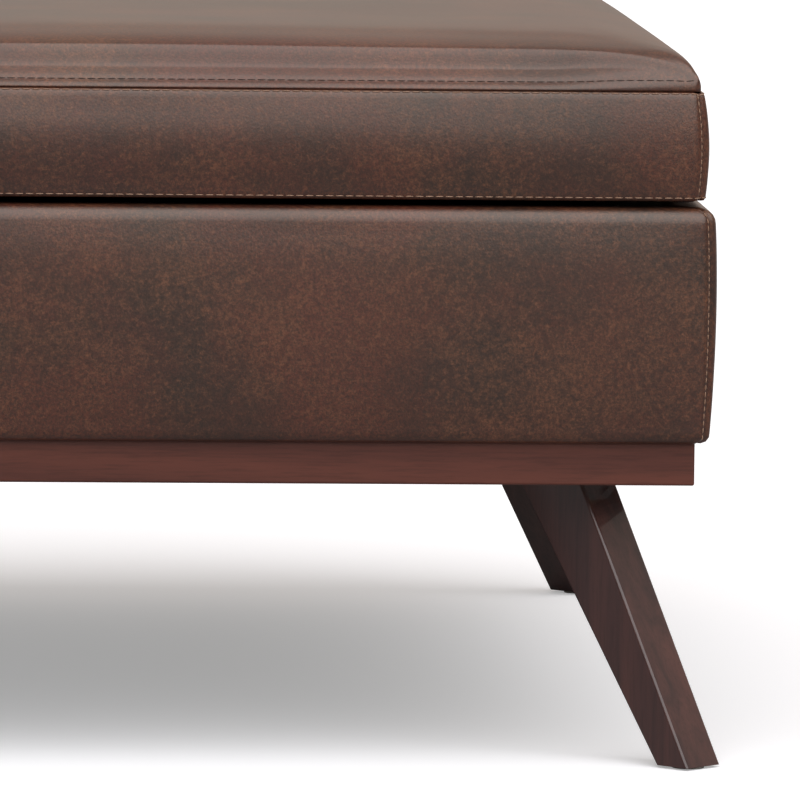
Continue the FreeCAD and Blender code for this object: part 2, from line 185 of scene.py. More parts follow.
def turned(points, quarters):
    """Points of the front side, turned to the side that many quarter turns on."""
    cos, sin = ((1, 0), (0, 1), (-1, 0), (0, -1))[quarters % 4]
    out = np.array(points, float)
    out[..., 0], out[..., 1] = (
        points[..., 0] * cos - points[..., 1] * sin,
        points[..., 0] * sin + points[..., 1] * cos,
    )
    return out


def finish_mesh(piece):
    """Bakes the piece's modifiers into a plain mesh."""
    depsgraph = bpy.context.evaluated_depsgraph_get()
    mesh = bpy.data.meshes.new_from_object(piece.evaluated_get(depsgraph), depsgraph=depsgraph)
    mesh.name = piece.name
    piece.modifiers.clear()
    piece.data = mesh
    return piece


def smooth_noise(points, size, seed):
    """Gentle, repeatable unevenness from -1 to 1 whose humps are about that size across."""
    random = np.random.default_rng(seed)
    total = np.zeros(len(points))
    for _ in range(7):
        way = random.normal(size=3)
        way *= 2 * math.pi / (size * random.uniform(1.6, 3.2)) / np.linalg.norm(way)
        total += np.sin(points @ way + random.uniform(0, 2 * math.pi))
    return total / 4


def outline(steps, spacing):
    """Points along a path of (out, high) corners and (through, end) arcs, about that far apart."""
    points = [np.array(steps[0], float)]
    for step in steps[1:]:
        start = points[-1]
        if isinstance(step[0], tuple):
            through, end = np.array(step[0]), np.array(step[1])
            # the circle through three points
            rows = 2 * np.array([through - start, end - start])
            centre = np.linalg.solve(rows, [through @ through - start @ start, end @ end - start @ start])
            radius = np.linalg.norm(start - centre)
            angles = [math.atan2(*(p - centre)[::-1]) for p in (start, through, end)]
            first = (angles[1] - angles[0] + math.pi) % (2 * math.pi) - math.pi
            second = (angles[2] - angles[1] + math.pi) % (2 * math.pi) - math.pi
            count = max(2, round(radius * abs(first + second) / spacing))
            for i in range(1, count + 1):
                angle = angles[0] + (first + second) * i / count
                points.append(centre + radius * np.array([math.cos(angle), math.sin(angle)]))
        else:
            end = np.array(step, float)
            count = max(1, round(np.linalg.norm(end - start) / spacing))
            points += [start + (end - start) * i / count for i in range(1, count + 1)]
    return np.array(points)


def steps_from_edge(length, fine, coarse, growth, dense=0.0):
    """Distances from 0 to length whose gaps stay fine as far as dense, then grow to coarse."""
    places, gap = [0.0], fine
    while places[-1] + gap < length - coarse / 2:
        places.append(places[-1] + gap)
        gap = min(gap * growth, coarse) if places[-1] > dense else gap
    return places + [length]


# ---------------------------------------------------------------- settings


def number_setting(name, about, value, **more):
    return bpy.props.FloatProperty(name=name, description=about, default=value, **more)


def angle_setting(name, about, radians):
    return number_setting(name, about, radians, subtype="ANGLE")


def colour_setting(name, about, code):
    return bpy.props.FloatVectorProperty(
        name=name, description=about, subtype="COLOR", size=4, min=0, max=1, default=hex_colour(code)
    )


def length_setting(name, about, millimetres):
    return number_setting(name, about, millimetres * MM, unit="LENGTH", precision=5, min=0)


class StudioSettings(bpy.types.PropertyGroup):
    """The camera, the lights and the floor."""

    place: bpy.props.FloatVectorProperty(
        name="Camera place", description="Where the camera stands", subtype="TRANSLATION", unit="LENGTH",
        default=(0.0, -5.7492, 0.6918),
    )
    aim: angle_setting("Aim", "Turn to the right of straight ahead", 0.0526)
    tilt: angle_setting("Tilt", "Downward tilt", 0.0909)
    roll: angle_setting("Roll", "Turn about the line of sight", 0.0108)
    lens: number_setting("Lens", "Focal length in millimetres", 426.5)
    sky_front: number_setting("Front", "Strength of the surroundings' light in front", 0.1)
    sky_rear: number_setting("Rear", "Strength of the surroundings' light behind", 0.5)
    walls: colour_setting("Walls", "Colour of the light from the surroundings", "#fff3e8")
    key: number_setting("Key", "Strength of the overhead light", 2.65)
    key_lean: angle_setting("Key lean", "How far the overhead light leans to the front", math.radians(38))
    key_spread: angle_setting("Key spread", "Apparent width of the overhead light", math.radians(80))
    floor_size: length_setting("Floor size", "Width of the floor", 120000)
    floor: colour_setting("Floor", "Colour of the floor", "#f4f4f8")
    floor_glow: number_setting("Floor glow", "How brightly the floor glows for the camera", 0.33)
    floor_bounce: number_setting("Floor bounce", "Share of the floor's light that others get", 0.36)


class LeatherSettings(bpy.types.PropertyGroup):
    """Colours of the leatherette and its thread."""

    base: colour_setting("Base", "The brown that most of it has", "#4c2315")
    dark: colour_setting("Dark", "Where the wax lies thick", "#2f1a11")
    red: colour_setting("Red", "The redder clouds", "#58261d")
    worn: colour_setting("Worn", "Where it is rubbed pale", "#7a4e33")
    thread: colour_setting("Thread", "Stitching at the seams", "#ab8871")
    dark_thread: colour_setting("Dark thread", "Topstitching on the lid's top", "#3c2a24")
    cloud: length_setting("Cloud", "Width of the large dark and light clouds", 120)
    scuff: length_setting("Scuff", "Width of the rubbed flecks", 3.2)
    grain: length_setting("Grain", "Width of one pebble of the grain", 1.3)


class UpholsterySettings(bpy.types.PropertyGroup):
    """Shapes of the padding and the seams."""

    flange: length_setting("Flange", "Width of the sloping border round the lid's top", 13.5)
    flange_rise: length_setting("Flange rise", "How far the border rises from the seam", 12.6)
    crown_rise: length_setting("Crown rise", "Height of the step up to the crown", 18.4)
    crown_step: length_setting("Crown step", "Distance over which the crown first steps up", 0.7)
    crown_lean: length_setting("Crown lean", "Distance over which it then leans in", 6.4)
    seam_depth: length_setting("Seam depth", "How far panels roll in at a corner seam", 1.7)
    seam_reach: length_setting("Seam reach", "How far from a seam the leatherette rolls in", 2.2)
    hem_drop: length_setting("Hem drop", "How much the lid's lower edge sags at the front", 2.4)
    rim_drop: length_setting("Rim drop", "How much the box's upper edge is pressed down at the front", 2.8)
    swell: length_setting("Swell", "The most that padding may swell from its pattern", 0.8)
    pressure: number_setting("Pressure", "Push of the foam while the covers are settled", 3.0)
    frames: bpy.props.IntProperty(name="Frames", description="Steps of the settling", default=10)


class StitchSettings(bpy.types.PropertyGroup):
    """Sizes of the stitches."""

    seam_pitch: length_setting("Seam pitch", "From stitch to stitch along the lid's seam and hem", 5.6)
    corner_pitch: length_setting("Corner pitch", "From stitch to stitch down a corner", 4.0)
    gap: length_setting("Gap", "Leatherette between one stitch and the next", 0.9)
    thread: length_setting("Thread", "Radius of the thread", 0.34)
    corner_inset: length_setting("Corner inset", "From a corner seam to its stitches", 2.0)
    top_inset: length_setting("Top inset", "From the lid's seam to the stitches on its top", 5.0)
    hem: length_setting("Hem", "From the lid's lower edge to the hem's stitches", 1.9)


class WoodSettings(bpy.types.PropertyGroup):
    """Colours of the wood."""

    walnut: colour_setting("Walnut", "The rails' mid tone", "#743f31")
    walnut_dark: colour_setting("Walnut dark", "The rails' grain", "#5c3026")
    espresso: colour_setting("Espresso", "The legs' lacquer", "#3d2524")
    espresso_light: colour_setting("Espresso light", "Grain under the legs' lacquer", "#5a3631")
    ply: colour_setting("Plywood", "Birch plywood", "#c8a877")
    pine: colour_setting("Pine", "Corner blocks and bearers", "#cfae80")


class FittingSettings(bpy.types.PropertyGroup):
    """Colours of the metal, cloth and plastic."""

    zinc: colour_setting("Zinc", "Zinc-plated steel", "#b4b4b0")
    lining: colour_setting("Lining", "Woven lining of the box and lid", "#2b2725")
    dust: colour_setting("Dust cover", "Non-woven cloth under the plinth", "#1d1c1c")
    nylon: colour_setting("Nylon", "Foot glides", "#d8d3ca")
    rubber: colour_setting("Rubber", "Lid bumpers", "#232121")


# ---------------------------------------------------------------- finishes


def leatherette(name, settings):
    """Polyurethane leather, cast on a pebbled paper, then waxed and rubbed by hand.

    The eye sees dark and reddish clouds, pale rubbed flecks where they cluster, and a fine pebble whose
    tops catch a soft sheen. The pattern follows the cut_place attribute, so each panel has its own cut.
    """
    material, tree, shader = new_material(name)
    place = add_node(tree, "ShaderNodeAttribute", attribute_name="cut_place").outputs["Vector"]
    cloud = add_node(
        tree, "ShaderNodeTexNoise",
        {"Vector": place, "Scale": 1 / settings.cloud, "Detail": 6.0, "Roughness": 0.6, "Distortion": 0.3},
    ).outputs[0]
    tone = add_node(tree, "ShaderNodeValToRGB", {"Fac": cloud})
    tone = set_stops(tone, [(0.40, settings.dark), (0.57, settings.base)])
    blush = add_node(
        tree, "ShaderNodeTexNoise",
        {"Vector": place, "Scale": 0.45 / settings.cloud, "Detail": 5.0, "Roughness": 0.65,
         "Distortion": 0.8},
    ).outputs[0]
    blush = set_stops(add_node(tree, "ShaderNodeValToRGB", {"Fac": blush}), [(0.50, 0.0), (0.68, 0.6)])
    tone = add_node(
        tree, "ShaderNodeMix", {0: blush, 6: tone, 7: settings.red}, data_type="RGBA"
    ).outputs[2]

    scuff = add_node(
        tree, "ShaderNodeTexNoise",
        {"Vector": place, "Scale": 1 / settings.scuff, "Detail": 8.0, "Roughness": 0.78, "Distortion": 0.2},
    ).outputs[0]
    rubbed = add_node(
        tree, "ShaderNodeTexNoise",
        {"Vector": place, "Scale": 1.3 / settings.cloud, "Detail": 4.0, "Roughness": 0.6},
    ).outputs[0]
    rubbed = add_node(tree, "ShaderNodeMath", {0: rubbed, 1: 0.5}, operation="MULTIPLY").outputs[0]
    flecks = add_node(tree, "ShaderNodeMath", {0: scuff, 1: rubbed}, operation="ADD").outputs[0]
    flecks = set_stops(add_node(tree, "ShaderNodeValToRGB", {"Fac": flecks}), [(0.70, 0.0), (0.92, 0.6)])
    tone = add_node(
        tree, "ShaderNodeMix", {0: flecks, 6: tone, 7: settings.worn}, data_type="RGBA"
    ).outputs[2]

    pebble = add_node(
        tree, "ShaderNodeTexVoronoi", {"Vector": place, "Scale": 1 / settings.grain, "Randomness": 1.0},
        feature="F1",
    ).outputs["Distance"]
    fine = add_node(
        tree, "ShaderNodeTexNoise",
        {"Vector": place, "Scale": 0.85 / settings.grain, "Detail": 4.0, "Roughness": 0.75},
    ).outputs[0]
    mottle = set_stops(add_node(tree, "ShaderNodeValToRGB", {"Fac": fine}), [(0.38, 0.42), (0.62, 1.5)])
    tone = add_node(
        tree, "ShaderNodeMix", {0: 0.9, 6: tone, 7: mottle}, data_type="RGBA", blend_type="MULTIPLY"
    ).outputs[2]
    pits = set_stops(add_node(tree, "ShaderNodeValToRGB", {"Fac": pebble}), [(0.08, 0.6), (0.3, 1.0)])
    tone = add_node(
        tree, "ShaderNodeMix", {0: 0.75, 6: tone, 7: pits}, data_type="RGBA", blend_type="MULTIPLY"
    ).outputs[2]
    sheen = set_stops(add_node(tree, "ShaderNodeValToRGB", {"Fac": scuff}), [(0.3, 0.36), (0.7, 0.46)])
    height = add_node(tree, "ShaderNodeMath", {0: fine, 1: pebble}, operation="SUBTRACT").outputs[0]
    bump = add_node(
        tree, "ShaderNodeBump", {"Strength": 0.35, "Distance": 0.25 * MM, "Height": height}
    ).outputs[0]
    # the coat is the wax, a second, warm gleam over the leatherette's own
    set_sockets(shader, {
        "Base Color": tone, "Roughness": sheen, "Normal": bump,
        "Specular IOR Level": 0.75, "Specular Tint": hex_colour("#f6e8de"),
        "Coat Weight": 0.95, "Coat Roughness": 0.4, "Coat Tint": hex_colour("#fdf3ec"),
    })
    return material


def thread(name, colour):
    """Bonded polyester thread: a soft gleam along each stitch."""
    material, tree, shader = new_material(name)
    place = add_node(tree, "ShaderNodeTexCoord").outputs["Object"]
    fibre = add_node(
        tree, "ShaderNodeTexNoise", {"Vector": place, "Scale": 1 / (0.4 * MM), "Detail": 2.0}
    ).outputs[0]
    bump = add_node(
        tree, "ShaderNodeBump", {"Strength": 0.3, "Distance": 0.1 * MM, "Height": fibre}
    ).outputs[0]
    set_sockets(shader, {"Base Color": colour, "Roughness": 0.55, "Normal": bump})
    return material


def wood(name, light, dark, grain_way, rough, coat):
    """Planed hardwood: long streaks of darker grain and fine pores along grain_way (0 is X, 1 is Y, 2 is Z).

    coat is how thick the clear lacquer looks, from 0 for an oiled surface to 1 for a wet gloss.
    """
    material, tree, shader = new_material(name)
    place = add_node(tree, "ShaderNodeTexCoord").outputs["Object"]
    stretch = [1.0, 1.0, 1.0]
    stretch[grain_way] = 0.06
    along = add_node(tree, "ShaderNodeMapping", {"Vector": place, "Scale": stretch}).outputs[0]
    figure = add_node(
        tree, "ShaderNodeTexNoise",
        {"Vector": along, "Scale": 1 / (16 * MM), "Detail": 6.0, "Roughness": 0.6, "Distortion": 0.6},
    ).outputs[0]
    pores = add_node(
        tree, "ShaderNodeTexNoise",
        {"Vector": along, "Scale": 1 / (1.6 * MM), "Detail": 3.0, "Roughness": 0.7},
    ).outputs[0]
    tone = set_stops(add_node(tree, "ShaderNodeValToRGB", {"Fac": figure}), [(0.32, dark), (0.66, light)])
    pore_tone = set_stops(add_node(tree, "ShaderNodeValToRGB", {"Fac": pores}), [(0.34, 0.72), (0.52, 1.0)])
    tone = add_node(
        tree, "ShaderNodeMix", {0: 0.8, 6: tone, 7: pore_tone}, data_type="RGBA", blend_type="MULTIPLY"
    ).outputs[2]
    bump = add_node(
        tree, "ShaderNodeBump", {"Strength": 0.12, "Distance": 0.15 * MM, "Height": pores}
    ).outputs[0]
    set_sockets(shader, {
        "Base Color": tone, "Roughness": rough, "Normal": bump, "Coat Weight": coat, "Coat Roughness": 0.08,
    })
    return material


def zinc_plate(name, settings):
    """Pressed steel, zinc plated in a barrel: a grey, faintly cloudy shine with fine tumbling marks."""
    material, tree, shader = new_material(name)
    place = add_node(tree, "ShaderNodeTexCoord").outputs["Object"]
    cloud = add_node(
        tree, "ShaderNodeTexNoise", {"Vector": place, "Scale": 1 / (9 * MM), "Detail": 5.0}
    ).outputs[0]
    rough = set_stops(add_node(tree, "ShaderNodeValToRGB", {"Fac": cloud}), [(0.35, 0.26), (0.65, 0.42)])
    marks = add_node(
        tree, "ShaderNodeTexNoise", {"Vector": place, "Scale": 1 / (0.8 * MM), "Detail": 3.0}
    ).outputs[0]
    bump = add_node(
        tree, "ShaderNodeBump", {"Strength": 0.15, "Distance": 0.05 * MM, "Height": marks}
    ).outputs[0]
    set_sockets(shader, {
        "Base Color": settings.zinc, "Metallic": 1.0, "Roughness": rough, "Normal": bump,
    })
    return material


def woven_lining(name, settings):
    """Plain-woven polyester lining, drawn at 1.2 mm a thread so that the weave still shows."""
    material, tree, shader = new_material(name)
    place = add_node(tree, "ShaderNodeTexCoord").outputs["Object"]
    # bands repeat every pi / 10 / scale, here 2.4 mm, which is two threads
    scale = 1 / (math.pi * 2.4 * MM)
    threads = [
        add_node(
            tree, "ShaderNodeTexWave", {"Vector": place, "Scale": scale}, bands_direction=way
        ).outputs["Fac"]
        for way in ("X", "Y", "Z")
    ]
    weave = add_node(tree, "ShaderNodeMath", {0: threads[0], 1: threads[1]}, operation="MULTIPLY").outputs[0]
    weave = add_node(tree, "ShaderNodeMath", {0: weave, 1: threads[2]}, operation="ADD").outputs[0]
    fuzz = add_node(
        tree, "ShaderNodeTexNoise", {"Vector": place, "Scale": 1 / (14 * MM), "Detail": 7.0, "Roughness": 0.7}
    ).outputs[0]
    tone = add_node(tree, "ShaderNodeValToRGB", {"Fac": fuzz})
    tone = set_stops(tone, [(0.3, scaled(settings.lining, 0.7)), (0.7, scaled(settings.lining, 1.5))])
    bump = add_node(
        tree, "ShaderNodeBump", {"Strength": 0.5, "Distance": 0.3 * MM, "Height": weave}
    ).outputs[0]
    set_sockets(shader, {"Base Color": tone, "Roughness": 0.85, "Normal": bump, "Sheen Weight": 0.25})
    return material


def bonded_cloth(name, settings):
    """Spun-bonded polypropylene dust cloth: matt, with a faint waffle from the bonding roller, 3 mm apart."""
    material, tree, shader = new_material(name)
    place = add_node(tree, "ShaderNodeTexCoord").outputs["Object"]
    dots = add_node(
        tree, "ShaderNodeTexVoronoi", {"Vector": place, "Scale": 1 / (3 * MM), "Randomness": 0.15}
    ).outputs["Distance"]
    bump = add_node(
        tree, "ShaderNodeBump", {"Strength": 0.4, "Distance": 0.2 * MM, "Height": dots}
    ).outputs[0]
    fibre = add_node(
        tree, "ShaderNodeTexNoise", {"Vector": place, "Scale": 1 / (25 * MM), "Detail": 6.0}
    ).outputs[0]
    tone = add_node(tree, "ShaderNodeValToRGB", {"Fac": fibre})
    tone = set_stops(tone, [(0.35, settings.dust), (0.7, scaled(settings.dust, 1.7))])
    set_sockets(shader, {"Base Color": tone, "Roughness": 0.9, "Normal": bump})
    return material


def moulded(name, colour, rough):
    """A moulded plastic or rubber: even colour, with a fine tool texture."""
    material, tree, shader = new_material(name)
    place = add_node(tree, "ShaderNodeTexCoord").outputs["Object"]
    texture = add_node(
        tree, "ShaderNodeTexNoise", {"Vector": place, "Scale": 1 / (0.5 * MM), "Detail": 3.0}
    ).outputs[0]
    bump = add_node(
        tree, "ShaderNodeBump", {"Strength": 0.2, "Distance": 0.05 * MM, "Height": texture}
    ).outputs[0]
    set_sockets(shader, {"Base Color": colour, "Roughness": rough, "Normal": bump})
    return material


# ---------------------------------------------------------------- padding


def mark_cut(piece, number):
    """Stores where each point lies in the hide it is cut from, so that no two panels share a pattern."""
    shift = np.random.default_rng(100 + number).uniform(-9, 9, 3)
    attribute = piece.data.attributes.new("cut_place", "FLOAT_VECTOR", "POINT")
    attribute.data.foreach_set("vector", (positions(piece) + shift).ravel())


def settle(piece, free, settings):
    """Lets foam push the cover out while its seams and back hold still. free is 0 where it is held."""
    start = positions(piece)
    held = piece.vertex_groups.new(name="held")
    weights = np.round(1 - free, 2)
    for weight in np.unique(weights):
        held.add(np.flatnonzero(weights == weight).tolist(), float(weight), "REPLACE")
    cloth = piece.modifiers.new("Settle", "CLOTH").settings
    cloth.quality = 4
    cloth.mass = 0.6
    cloth.tension_stiffness = 30
    cloth.compression_stiffness = 20
    cloth.shear_stiffness = 12
    cloth.bending_stiffness = 8.0
    cloth.vertex_group_mass = "held"
    cloth.use_pressure = True
    cloth.uniform_pressure_force = settings.pressure
    cloth.effector_weights.gravity = 0
    scene = bpy.context.scene
    for number in range(1, settings.frames + 1):
        scene.frame_set(number)
    depsgraph = bpy.context.evaluated_depsgraph_get()
    mesh = piece.evaluated_get(depsgraph).to_mesh()
    flat = np.empty(len(mesh.vertices) * 3)
    mesh.vertices.foreach_get("co", flat)
    piece.evaluated_get(depsgraph).to_mesh_clear()
    piece.modifiers.clear()
    piece.vertex_groups.clear()
    scene.frame_set(1)
    move = flat.reshape(-1, 3) - start
    length = np.linalg.norm(move, axis=1)
    reach = settings.swell * np.tanh(length / settings.swell)
    move *= (reach / np.maximum(length, 1e-9))[:, None]
    set_positions(piece, start + move)


def side_plan(out, half, columns):
    """Plan points of one row of a front side, out from the middle, from its left corner seam to its right.

    half is the side's fullest half width. Its corners turn about points CORNER_RADIUS inside that, and a
    row that lies further in than those points runs to a sharp mitre. columns go from -1 to 1.
    """
    turn = half - CORNER_RADIUS
    radius = out - turn
    if radius <= 0:
        return columns * out, np.full(len(columns), -out)
    reach = turn + radius * math.pi / 4
    along = columns * reach
    angle = np.clip((np.abs(along) - turn) / radius, 0, math.pi / 4)
    x = np.sign(along) * np.where(np.abs(along) < turn, np.abs(along), turn + radius * np.sin(angle))
    return x, -(turn + radius * np.cos(angle))


def padded_side(name, outer, inner, half, quarters, give, settings, number):
    """One upholstered side: outer is the leatherette's outline, inner the wood's, with as many points.

    give is how settle_front lowers its edge. The piece is turned to its place, quarters round from the
    front. Its two ends are mitres that roll in to the corner seams.
    """
    fine, coarse, growth = 0.45 * MM, 6 * MM, 1.28
    distances = np.array(steps_from_edge(half, fine, coarse, growth)) / half
    columns = np.concatenate([-1 + distances, (1 - distances)[::-1][1:]])
    count, rows = len(columns), len(outer)
    grid = np.zeros((2, rows, count, 3))
    from_seam = (1 - np.abs(columns)) * half
    for layer, path in enumerate((outer, inner)):
        for row, (out, high) in enumerate(path):
            x, y = side_plan(out, half, columns)
            grid[layer, row] = np.column_stack([x, y, np.full(count, high)])
    # the cover rolls in to each corner seam
    tangent = np.gradient(outer, axis=0)
    outward = np.column_stack([tangent[:, 1], -tangent[:, 0]])
    outward /= np.linalg.norm(outward, axis=1)[:, None]
    middle = outer.mean(axis=0)
    if ((outer - middle) * outward).sum() < 0:
        outward = -outward
    dip = settings.seam_depth * np.exp(-((from_seam / settings.seam_reach) ** 2))
    way = np.where(np.abs(columns) > 0.5, np.sign(columns), 0)
    diagonal = np.clip((np.abs(columns) * half - (half - 2 * CORNER_RADIUS)) / CORNER_RADIUS, 0, 1)
    for row in range(rows):
        sideways = outward[row, 0] * way * math.sqrt(0.5) * diagonal
        forward = outward[row, 0] * (1 - diagonal * (1 - math.sqrt(0.5)))
        grid[0, row, :, 0] -= dip * sideways
        grid[0, row, :, 1] += dip * forward
        grid[0, row, :, 2] -= dip * outward[row, 1]
    vertices = turned(grid.reshape(-1, 3), quarters)
    vertices[: rows * count] = settle_front(vertices[: rows * count], *give)
    faces = []
    layer_size = rows * count
    for row in range(rows - 1):
        for column in range(count - 1):
            a = row * count + column
            faces.append((a, a + 1, a + count + 1, a + count))
            b = a + layer_size
            faces.append((b, b + count, b + count + 1, b + 1))
    for row in (0, rows - 1):
        for column in range(count - 1):
            a = row * count + column
            faces.append((a, a + layer_size, a + layer_size + 1, a + 1))
    for column in (0, count - 1):
        for row in range(rows - 1):
            a = row * count + column
            faces.append((a, a + count, a + count + layer_size, a + layer_size))
    piece = new_object(name, vertices, faces)
    outward_faces(piece)
    # only the outer face is free: what turns under or over is stapled down
    turned_in, rows_to_ease, held, ease = 7 * MM, 6, 2 * MM, 12 * MM
    fixed = np.flatnonzero((outer[:, 0] < half - turned_in) | (np.arange(rows) % (rows - 1) == 0))
    row_free = np.clip(np.abs(np.arange(rows)[:, None] - fixed).min(axis=1) / rows_to_ease, 0, 1)
    column_free = np.clip((from_seam - held) / ease, 0, 1)
    free = np.concatenate([np.outer(row_free, column_free).ravel(), np.zeros(layer_size)])
    settle(piece, free, settings)
    points = positions(piece)
    swing = smooth_noise(points, 0.09, 20 + number) * 0.35 * MM
    swing += smooth_noise(points, 0.35, 40 + number) * 0.5 * MM
    normals = np.empty(len(points) * 3)
    piece.data.vertices.foreach_get("normal", normals)
    set_positions(piece, points + normals.reshape(-1, 3) * (swing * free)[:, None])
    mark_cut(piece, number)
    return piece


def settle_front(points, edge, drop, reach):
    """Lowers an edge by drop at the front, easing to nothing at the hinges, in a strip reach tall."""
    near = np.clip(1 - np.abs(points[:, 2] - edge) / reach, 0, 1)
    share = np.clip((BOARD_HALF - points[:, 1]) / (2 * BOARD_HALF), 0, 1) ** 0.5
    points[:, 2] -= drop * share * near**2 * (3 - 2 * near)
    return points


def matching_inner(outer, inner_steps):
    """Points along the wood's outline, one for each of the cover's."""
    fine = outline(inner_steps, 0.5 * MM)
    walked = np.concatenate([[0], np.cumsum(np.linalg.norm(np.diff(fine, axis=0), axis=1))])
    cover = np.concatenate([[0], np.cumsum(np.linalg.norm(np.diff(outer, axis=0), axis=1))])
    share = cover / cover[-1] * walked[-1]
    return np.column_stack([np.interp(share, walked, fine[:, i]) for i in (0, 1)])


def box_outlines():
    """The cover from the flap in the box, over the rim and down to the plinth, and the panel behind it."""
    top = BOX_HIGH
    outer = outline([
        (FLAP_FACE, FLAP_LOW),
        (FLAP_FACE, top - 5.2 * MM),
        ((FLAP_FACE + 1.55 * MM, top - 1.55 * MM), (FLAP_FACE + 5.2 * MM, top)),
        (BOX_HALF - 10 * MM, top),
        ((BOX_HALF - 3.5 * MM, top - 2.7 * MM), (BOX_HALF - 1.0 * MM, top - 9 * MM)),
        ((BOX_HALF, 255 * MM), (BOX_HALF - 2.8 * MM, BOX_LOW + 7 * MM)),
        ((BOX_HALF - 4.3 * MM, BOX_LOW + 1.9 * MM), (BOX_HALF - 7.8 * MM, BOX_LOW)),
        (PANEL_OUT, BOX_LOW),
    ], 3 * MM)
    gap = 0.2 * MM
    inner = [
        (PANEL_IN - gap, FLAP_LOW),
        (PANEL_IN - gap, PANEL_HIGH + gap),
        (PANEL_OUT + gap, PANEL_HIGH + gap),
        (PANEL_OUT + gap, BOX_LOW + 1.2 * MM),
    ]
    return outer, matching_inner(outer, inner)


def band_outlines():
    """The band from its return under the lid, round the lower edge and up to the seam."""
    lip, low = 1.4 * MM, LID_LOW
    outer = outline([
        (RETURN_HALF, LID_LOW),
        (LID_HALF - 4.4 * MM, low),
        ((LID_HALF - 2.6 * MM, low + 0.45 * MM), (LID_HALF - 1.9 * MM, low + 1.6 * MM)),
        ((LID_HALF, 352 * MM), (SEAM_HALF + 0.7 * MM, LID_SEAM - 2.6 * MM)),
        ((SEAM_HALF - 0.1 * MM, LID_SEAM - 0.9 * MM), (SEAM_HALF - lip, LID_SEAM - 0.15 * MM)),
    ], 2.4 * MM)
    gap = 0.2 * MM
    inner = [
        (RETURN_HALF, BOARD_LOW - gap),
        (BOARD_HALF + gap, BOARD_LOW - gap),
        (BOARD_HALF + gap, LID_SEAM - 1.5 * MM),
        (SEAM_HALF - 2.2 * MM, LID_SEAM - 0.8 * MM),
    ]
    return outer, matching_inner(outer, inner)


def lid_rise(x, y, settings):
    """Height of the lid's top over its seam: a sloping border, a steep step, then a shallow crown.

    The border narrows in the last stretch before each corner.
    """
    stretch, corner_reach = 85 * MM, 10.5 * MM
    far, side = np.maximum(np.abs(x), np.abs(y)), np.minimum(np.abs(x), np.abs(y))
    inset = SEAM_HALF - far
    corner = np.clip((side - (SEAM_HALF - stretch)) / stretch, 0, 1)
    flange = settings.flange * (1 - 0.93 * corner**2.2)
    share = np.clip(inset / flange, 0, 1)
    border = settings.flange_rise * (flange / settings.flange) ** 0.55 * (1 - (1 - share) ** 1.1)
    beyond = np.maximum(inset - flange, 0)
    # the crown stands up from the border, then leans in more and more gently
    upright, leaning, gentle = 0.45, 0.17, 0.38
    step = upright * np.clip(beyond / settings.crown_step, 0, 1)
    step += leaning * (1 - np.exp(-beyond / settings.crown_lean))
    step += gentle * (1 - np.exp(-beyond / (4 * settings.crown_lean)))
    # it is tallest half way along a side
    taller = 0.17
    step *= settings.crown_rise * (1 + taller * (1 - (side / SEAM_HALF) ** 2))
    middle = LID_TOP - LID_SEAM - settings.flange_rise - settings.crown_rise
    crown = middle * (1 - (far / SEAM_HALF) ** 2) * (1 - (side / SEAM_HALF) ** 2)
    # a corner is one full curve, round about the diagonal
    reach = 1 / np.hypot(1 / np.maximum(inset, 0.1 * MM), 1 / np.maximum(SEAM_HALF - side, 0.1 * MM))
    full = 0.92 * (settings.flange_rise + settings.crown_rise)
    turn = full * (1 - np.exp(-((np.minimum(inset, reach * 1.25) / corner_reach) ** 0.9)))
    share = corner**1.3
    return (border + step) * (1 - share) + turn * share + crown


def rounded_square(u, v, half, radius):
    """Moves points of a square grid so that the square's corners become round."""
    turn = half - radius
    x, y = u.copy(), v.copy()
    inside = (np.abs(u) > turn) & (np.abs(v) > turn)
    a, b = (np.abs(u[inside]) - turn) / radius, (np.abs(v[inside]) - turn) / radius
    shrink = np.maximum(a, b) / np.hypot(a, b)
    x[inside] = np.sign(u[inside]) * (turn + a * shrink * radius)
    y[inside] = np.sign(v[inside]) * (turn + b * shrink * radius)
    return x, y


def lid_top_piece(settings, stitch):
    """The lid's top panel: a grid with close lines at its seam, still open underneath."""
    fine, coarse, growth, dense = 1.0 * MM, 11 * MM, 1.18, 24 * MM
    draw_depth, draw_reach = 1.5 * MM, 0.7 * MM
    dent_depth, dent_reach = 0.55 * MM, 1.1 * MM
    near = steps_from_edge(SEAM_HALF, fine, coarse, growth, dense)
    places = np.array([-SEAM_HALF + d for d in near] + [SEAM_HALF - d for d in near[::-1][1:]])
    u, v = np.meshgrid(places, places, indexing="ij")
    radius = CORNER_RADIUS - (LID_HALF - SEAM_HALF)
    x, y = rounded_square(u.ravel(), v.ravel(), SEAM_HALF, radius)
    z = LID_SEAM + lid_rise(x, y, settings)
    count = len(places)
    edge = np.zeros((count, count), bool)
    edge[[0, -1], :] = edge[:, [0, -1]] = True
    edge = edge.ravel()
    # the edge is drawn in to the seam, and the border is pulled down along its stitches
    across, along = np.abs(u).ravel(), np.abs(v).ravel()
    inset = SEAM_HALF - np.maximum(across, along)
    draw = draw_depth * np.exp(-inset / draw_reach)
    x -= np.sign(x) * np.where(across >= along - 1e-9, draw, 0)
    y -= np.sign(y) * np.where(along >= across - 1e-9, draw, 0)
    z -= dent_depth * np.exp(-(((inset - stitch.top_inset) / dent_reach) ** 2))
    z[edge] = LID_SEAM + 0.1 * MM
    vertices = np.column_stack([x, y, z])
    piece = new_object("lid_top_panel", vertices, grid_faces(count))
    held, ease = 6 * MM, 20 * MM
    free = np.clip((inset - held) / ease, 0, 1)
    settle(piece, free, settings)
    points = positions(piece)
    points[:, 2] += free * (smooth_noise(points, 0.10, 7) * 0.4 + smooth_noise(points, 0.30, 8) * 0.7) * MM
    set_positions(piece, points)
    mark_cut(piece, 1)
    return piece


# ---------------------------------------------------------------- linings


